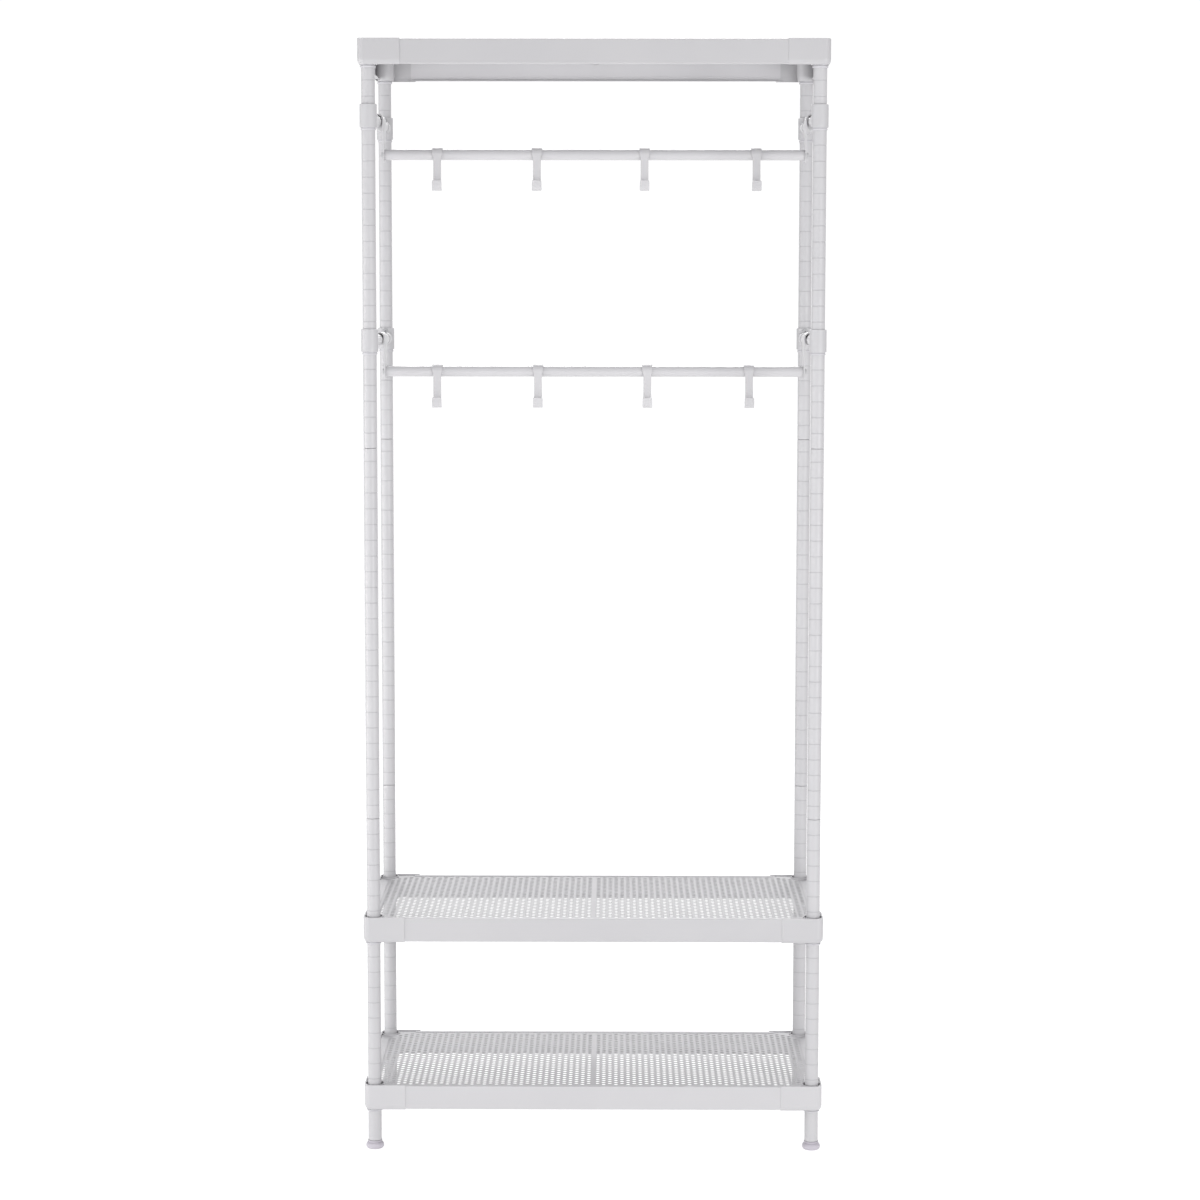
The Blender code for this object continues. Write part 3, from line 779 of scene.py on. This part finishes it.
# -------------------------------------------------------------------- stage
bm = bmesh.new()
n = 24
grid = [[bm.verts.new((40 * (i / n - 0.5), 60 * (j / n - 0.3), 0.0)) for j in range(n + 1)]
        for i in range(n + 1)]
for i in range(n):
    for j in range(n):
        bm.faces.new((grid[i][j], grid[i + 1][j], grid[i + 1][j + 1], grid[i][j + 1]))
me = bpy.data.meshes.new("floor")
bm.to_mesh(me)
bm.free()
floor = bpy.data.objects.new("floor", me)
bpy.context.scene.collection.objects.link(floor)
fm, nt, b, co = shader("pale_floor")
b.inputs["Base Color"].default_value = (0.35, 0.35, 0.35, 1)
b.inputs["Roughness"].default_value = 0.9
b.inputs["Specular IOR Level"].default_value = 0.1
b.inputs["Emission Color"].default_value = (1, 1, 1, 1)
b.inputs["Emission Strength"].default_value = 0.79
me.materials.append(fm)

scene = bpy.context.scene
world = bpy.data.worlds.new("studio")
scene.world = world
world.use_nodes = True
nt = world.node_tree
nt.nodes.clear()
out = nt.nodes.new("ShaderNodeOutputWorld")
mix = nt.nodes.new("ShaderNodeMixShader")
ray = nt.nodes.new("ShaderNodeLightPath")
soft = nt.nodes.new("ShaderNodeBackground")
soft.inputs[0].default_value = (0.985, 0.985, 1.0, 1)
soft.inputs[1].default_value = 0.69
white = nt.nodes.new("ShaderNodeBackground")
white.inputs[0].default_value = (1, 1, 1, 1)
white.inputs[1].default_value = 1.05
nt.links.new(ray.outputs["Is Camera Ray"], mix.inputs[0])
nt.links.new(soft.outputs[0], mix.inputs[1])
nt.links.new(white.outputs[0], mix.inputs[2])
nt.links.new(mix.outputs[0], out.inputs[0])


def area(name, loc, aim, size, power):
    d = bpy.data.lights.new(name, "AREA")
    d.shape = "RECTANGLE"
    d.size, d.size_y = size
    d.energy = power
    ob = bpy.data.objects.new(name, d)
    scene.collection.objects.link(ob)
    ob.location = loc
    ob.visible_camera = False
    ob.rotation_euler = (Vector(aim) - Vector(loc)).to_track_quat("-Z", "Y").to_euler()
    return ob


area("softbox_left", (-2.1, -3.3, 0.55), (0.0, 0.0, 0.60), (2.0, 1.4), 38.0)
area("softbox_right", (2.6, -3.2, 0.8), (0.0, 0.0, 0.7), (1.6, 1.6), 70.0)
area("softbox_front", (1.6, -4.2, 1.0), (0.0, 0.0, 0.8), (1.6, 1.6), 17.0)
area("softbox_side", (-3.0, -0.6, 0.8), (0.0, 0.0, 0.8), (1.6, 1.6), 48.0)
area("softbox_over", (0.0, -0.4, 3.6), (0.0, 0.0, 0.0), (3.0, 2.5), 20.0)
area("softbox_back", (0.0, 3.2, 1.2), (0.0, 0.0, 0.8), (2.5, 2.0), 6.0)
area("softbox_back_high", (0.0, 2.6, 3.0), (0.0, 0.0, 0.8), (2.5, 1.5), 102.0)

# ------------------------------------------------------------------- camera
F, CX, CY, CZ = 2744.1, 0.0358, 4.4055, 1.3734
PITCH_A, YAW, ROLL = radians(5.498), radians(-0.330), radians(0.068)
cp, sp, cw, sw, cr, sr = cos(PITCH_A), sin(PITCH_A), cos(YAW), sin(YAW), cos(ROLL), sin(ROLL)
fwd = Vector((cp * sw, cp * cw, -sp))
up0 = Vector((sp * sw, sp * cw, cp))
rt0 = Vector((cw, -sw, 0))
right = rt0 * cr + up0 * sr
up = up0 * cr - rt0 * sr
cam = bpy.data.cameras.new("photo_camera")
cam.sensor_width = 36.0
cam.sensor_fit = "HORIZONTAL"
cam.lens = F / 1200.0 * 36.0
cam.shift_y = -0.022
cam.clip_start, cam.clip_end = 0.1, 100.0
co_ = bpy.data.objects.new("photo_camera", cam)
scene.collection.objects.link(co_)
co_.matrix_world = basis(right, up, -fwd, (CX, -CY - PY, CZ))
scene.camera = co_

scene.view_settings.view_transform = "Standard"
scene.view_settings.look = "None"
scene.view_settings.exposure = 0.0
scene.view_settings.gamma = 1.0
